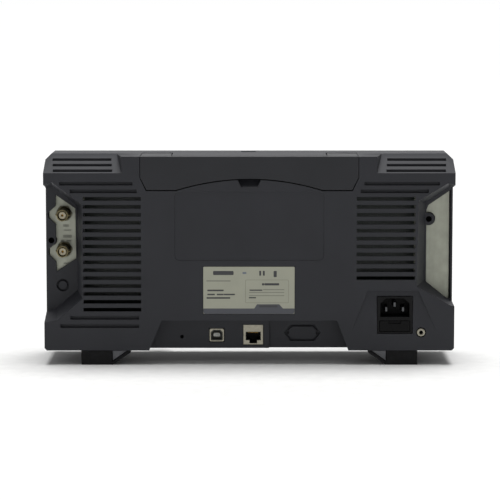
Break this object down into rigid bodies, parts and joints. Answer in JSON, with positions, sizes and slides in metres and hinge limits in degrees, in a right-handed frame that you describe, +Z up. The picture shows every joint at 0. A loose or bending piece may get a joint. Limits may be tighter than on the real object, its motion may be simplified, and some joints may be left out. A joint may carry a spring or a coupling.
{
  "type": "function generator",
  "caption": "Wide bench function generator: screen and keypad front, vented rear cover with side recesses, coaxial, data and mains sockets, fold-down handle and tilt legs.",
  "frame": {"origin": "on the table, under the middle of the instrument's whole box", "axes": "+Z up, +Y towards the rear panel, +X to the right when facing the screen"},
  "size_m": [0.34, 0.09, 0.1737],
  "materials": {
    "case_plastic": "dark blue-grey moulded ABS, fine matt grain",
    "front_plastic": "dark blue-grey moulded ABS, fine matt grain",
    "handle_plastic": "dark blue-grey moulded ABS, fine matt grain",
    "sheet_metal": "zinc-plated sheet steel, slightly yellow-green",
    "nickel": "nickel-plated brass, warm and slightly worn",
    "black_plastic": "black moulded nylon",
    "rubber": "black moulded rubber",
    "foot_plastic": "mid-grey moulded ABS",
    "board": "glass-epoxy board with solder mask",
    "label": "printed polyester label, satin",
    "glass": "clear acrylic window over a dark screen",
    "panel": "liquid-crystal module",
    "light_key": "light grey moulded key",
    "dark_key": "dark grey moulded key",
    "steel": "machined steel",
    "brass": "nickel-flashed brass"
  },
  "bodies": {
    "root": {"rear_cover": "case_plastic", "front_housing": "front_plastic", "display_window": "glass", "display_panel": "panel", "key_board": "board", "main_board": "board", "power_supply_board": "board", "chassis_plate": "sheet_metal", "bnc_jack_upper": "nickel", "bnc_jack_lower": "nickel", "output_jack_1": "nickel", "output_jack_2": "nickel", "usb_b_socket": "nickel", "usb_host_port": "nickel", "rj45_socket": "nickel", "inlet_body": "black_plastic", "inlet_pins": "steel", "earth_terminal": "brass", "rating_label": "label", "handle_pin_left": "steel", "handle_pin_right": "steel", "rear_foot_left": "foot_plastic", "rear_foot_right": "foot_plastic", "rear_foot_boot_left": "rubber", "rear_foot_boot_right": "rubber", "case_screw_left": "steel", "case_screw_right": "steel", "encoder_body": "steel"},
    "handle": {"handle": "handle_plastic"},
    "tilt_leg_left": {"tilt_leg_left": "rubber"},
    "tilt_leg_right": {"tilt_leg_right": "rubber"},
    "fuse_drawer": {"fuse_drawer": "black_plastic", "mains_fuse": "steel"},
    "encoder_plunger": {"encoder_plunger": "black_plastic"},
    "knob": {"encoder_shaft": "steel", "knob": "dark_key"},
    "power_button": {"power_button": "light_key"},
    "softkey_1": {"softkey_1": "dark_key"},
    "softkey_2": {"softkey_2": "dark_key"},
    "softkey_3": {"softkey_3": "dark_key"},
    "softkey_4": {"softkey_4": "dark_key"},
    "softkey_5": {"softkey_5": "dark_key"},
    "key_7": {"key_7": "light_key"},
    "key_8": {"key_8": "light_key"},
    "key_9": {"key_9": "light_key"},
    "key_4": {"key_4": "light_key"},
    "key_5": {"key_5": "light_key"},
    "key_6": {"key_6": "light_key"},
    "key_1": {"key_1": "light_key"},
    "key_2": {"key_2": "light_key"},
    "key_3": {"key_3": "light_key"},
    "key_0": {"key_0": "light_key"},
    "key_point": {"key_point": "light_key"},
    "key_sign": {"key_sign": "light_key"},
    "key_arrow_left": {"key_arrow_left": "light_key"},
    "key_arrow_right": {"key_arrow_right": "light_key"},
    "key_mode": {"key_mode": "dark_key"},
    "key_utility": {"key_utility": "dark_key"},
    "key_output_1": {"key_output_1": "light_key"},
    "key_output_2": {"key_output_2": "light_key"}
  },
  "joints": [
    {"name": "handle_swing", "type": "hinge", "parent": "root", "child": "handle", "pos_m": [0, 0.004, 0.1685], "axis": [1, 0, 0], "range_deg": [0, 90]},
    {"name": "tilt_leg_left_fold", "type": "hinge", "parent": "root", "child": "tilt_leg_left", "pos_m": [-0.126, -0.024, 0.0075], "axis": [-1, 0, 0], "range_deg": [0, 80]},
    {"name": "tilt_leg_right_fold", "type": "hinge", "parent": "root", "child": "tilt_leg_right", "pos_m": [0.126, -0.024, 0.0075], "axis": [-1, 0, 0], "range_deg": [0, 80]},
    {"name": "fuse_drawer_slide", "type": "slide", "parent": "root", "child": "fuse_drawer", "axis": [0, 1, 0], "range_m": [0, 0.022]},
    {"name": "encoder_push", "type": "slide", "parent": "root", "child": "encoder_plunger", "axis": [0, 1, 0], "range_m": [0, 0.0005], "stiffness_N_per_m": 800, "springref_m": -0.0005},
    {"name": "knob_turn", "type": "hinge", "parent": "encoder_plunger", "child": "knob", "pos_m": [0.133, -0.04, 0.136], "axis": [0, -1, 0], "continuous": true},
    {"name": "power_button_press", "type": "slide", "parent": "root", "child": "power_button", "axis": [0, 1, 0], "range_m": [0, 0.0012], "stiffness_N_per_m": 400, "springref_m": -0.0008},
    {"name": "softkey_1_press", "type": "slide", "parent": "root", "child": "softkey_1", "axis": [0, 1, 0], "range_m": [0, 0.0012], "stiffness_N_per_m": 400, "springref_m": -0.0008},
    {"name": "softkey_2_press", "type": "slide", "parent": "root", "child": "softkey_2", "axis": [0, 1, 0], "range_m": [0, 0.0012], "stiffness_N_per_m": 400, "springref_m": -0.0008},
    {"name": "softkey_3_press", "type": "slide", "parent": "root", "child": "softkey_3", "axis": [0, 1, 0], "range_m": [0, 0.0012], "stiffness_N_per_m": 400, "springref_m": -0.0008},
    {"name": "softkey_4_press", "type": "slide", "parent": "root", "child": "softkey_4", "axis": [0, 1, 0], "range_m": [0, 0.0012], "stiffness_N_per_m": 400, "springref_m": -0.0008},
    {"name": "softkey_5_press", "type": "slide", "parent": "root", "child": "softkey_5", "axis": [0, 1, 0], "range_m": [0, 0.0012], "stiffness_N_per_m": 400, "springref_m": -0.0008},
    {"name": "key_7_press", "type": "slide", "parent": "root", "child": "key_7", "axis": [0, 1, 0], "range_m": [0, 0.0012], "stiffness_N_per_m": 400, "springref_m": -0.0008},
    {"name": "key_8_press", "type": "slide", "parent": "root", "child": "key_8", "axis": [0, 1, 0], "range_m": [0, 0.0012], "stiffness_N_per_m": 400, "springref_m": -0.0008},
    {"name": "key_9_press", "type": "slide", "parent": "root", "child": "key_9", "axis": [0, 1, 0], "range_m": [0, 0.0012], "stiffness_N_per_m": 400, "springref_m": -0.0008},
    {"name": "key_4_press", "type": "slide", "parent": "root", "child": "key_4", "axis": [0, 1, 0], "range_m": [0, 0.0012], "stiffness_N_per_m": 400, "springref_m": -0.0008},
    {"name": "key_5_press", "type": "slide", "parent": "root", "child": "key_5", "axis": [0, 1, 0], "range_m": [0, 0.0012], "stiffness_N_per_m": 400, "springref_m": -0.0008},
    {"name": "key_6_press", "type": "slide", "parent": "root", "child": "key_6", "axis": [0, 1, 0], "range_m": [0, 0.0012], "stiffness_N_per_m": 400, "springref_m": -0.0008},
    {"name": "key_1_press", "type": "slide", "parent": "root", "child": "key_1", "axis": [0, 1, 0], "range_m": [0, 0.0012], "stiffness_N_per_m": 400, "springref_m": -0.0008},
    {"name": "key_2_press", "type": "slide", "parent": "root", "child": "key_2", "axis": [0, 1, 0], "range_m": [0, 0.0012], "stiffness_N_per_m": 400, "springref_m": -0.0008},
    {"name": "key_3_press", "type": "slide", "parent": "root", "child": "key_3", "axis": [0, 1, 0], "range_m": [0, 0.0012], "stiffness_N_per_m": 400, "springref_m": -0.0008},
    {"name": "key_0_press", "type": "slide", "parent": "root", "child": "key_0", "axis": [0, 1, 0], "range_m": [0, 0.0012], "stiffness_N_per_m": 400, "springref_m": -0.0008},
    {"name": "key_point_press", "type": "slide", "parent": "root", "child": "key_point", "axis": [0, 1, 0], "range_m": [0, 0.0012], "stiffness_N_per_m": 400, "springref_m": -0.0008},
    {"name": "key_sign_press", "type": "slide", "parent": "root", "child": "key_sign", "axis": [0, 1, 0], "range_m": [0, 0.0012], "stiffness_N_per_m": 400, "springref_m": -0.0008},
    {"name": "key_arrow_left_press", "type": "slide", "parent": "root", "child": "key_arrow_left", "axis": [0, 1, 0], "range_m": [0, 0.0012], "stiffness_N_per_m": 400, "springref_m": -0.0008},
    {"name": "key_arrow_right_press", "type": "slide", "parent": "root", "child": "key_arrow_right", "axis": [0, 1, 0], "range_m": [0, 0.0012], "stiffness_N_per_m": 400, "springref_m": -0.0008},
    {"name": "key_mode_press", "type": "slide", "parent": "root", "child": "key_mode", "axis": [0, 1, 0], "range_m": [0, 0.0012], "stiffness_N_per_m": 400, "springref_m": -0.0008},
    {"name": "key_utility_press", "type": "slide", "parent": "root", "child": "key_utility", "axis": [0, 1, 0], "range_m": [0, 0.0012], "stiffness_N_per_m": 400, "springref_m": -0.0008},
    {"name": "key_output_1_press", "type": "slide", "parent": "root", "child": "key_output_1", "axis": [0, 1, 0], "range_m": [0, 0.0012], "stiffness_N_per_m": 400, "springref_m": -0.0008},
    {"name": "key_output_2_press", "type": "slide", "parent": "root", "child": "key_output_2", "axis": [0, 1, 0], "range_m": [0, 0.0012], "stiffness_N_per_m": 400, "springref_m": -0.0008}
  ]
}
